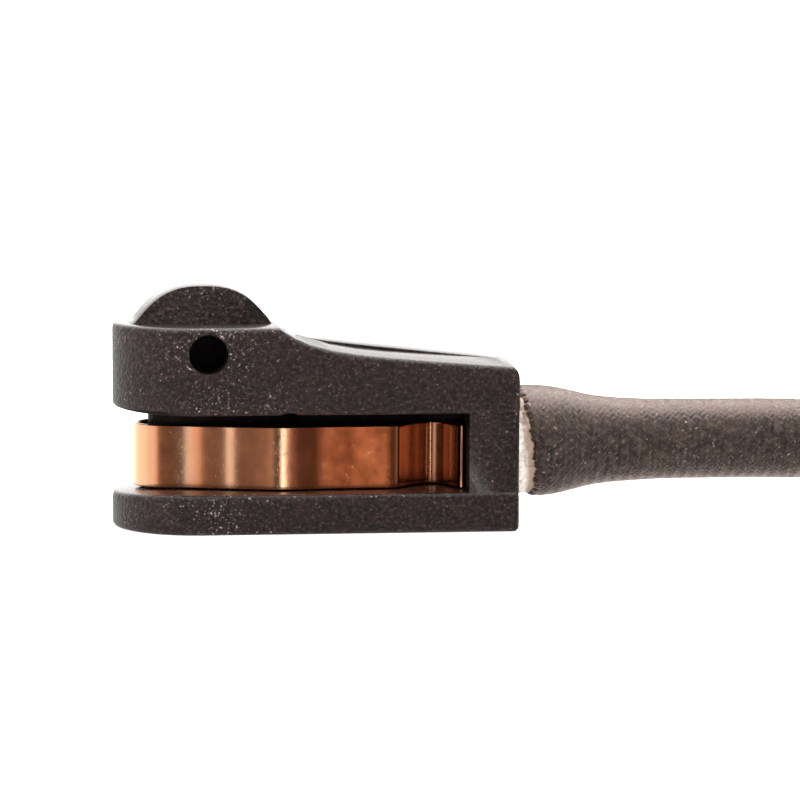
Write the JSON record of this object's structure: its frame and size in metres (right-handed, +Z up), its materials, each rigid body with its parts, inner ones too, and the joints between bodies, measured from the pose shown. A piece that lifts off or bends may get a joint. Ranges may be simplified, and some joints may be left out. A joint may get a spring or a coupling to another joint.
{
  "type": "brake pad wear sensor",
  "caption": "Moulded pad wear sensor head with a plate slot, a folded copper retaining clip and a braided lead that ends in a small plug.",
  "frame": {"origin": "under the middle of the head and its braided sleeve end, on the flat underside of the lower flange", "axes": "+X runs from the head's round tip towards the cable, +Y across the head away from the viewer, +Z up through the dome"},
  "size_m": [0.1127, 0.0602, 0.0201],
  "materials": {
    "head_plastic": "glass-filled black thermoset with an eroded grain and pale mineral specks",
    "spring_copper": "bright rolled copper alloy, lightly tarnished",
    "braid": "dark brown plaited yarn sleeve",
    "glass_fibre": "frayed white glass fibre",
    "jacket_rubber": "matt black",
    "core_insulation": "satin",
    "tinned_metal": "tinned",
    "plug_plastic": "fine moulded grain",
    "seal_rubber": "silicone, satin",
    "lock_plastic": "satin",
    "tie_plastic": "coated wire tie"
  },
  "bodies": {
    "root": {"sensor_body": "head_plastic", "retaining_spring": "spring_copper", "wear_loop": "core_insulation", "crimp_a": "tinned_metal", "crimp_b": "tinned_metal", "lead_core_a": "core_insulation", "lead_core_b": "core_insulation", "cable_sheath": "jacket_rubber", "inner_sleeve": "glass_fibre", "sleeve_flare": "braid", "cable_lead": "braid", "cable_coil": "braid", "cable_tail": "braid", "bundle_tie": "tie_plastic", "plug_boot": "jacket_rubber", "plug_housing": "plug_plastic", "plug_lock": "lock_plastic", "plug_seal": "seal_rubber", "contact_a": "tinned_metal", "contact_b": "tinned_metal"}
  },
  "joints": []
}
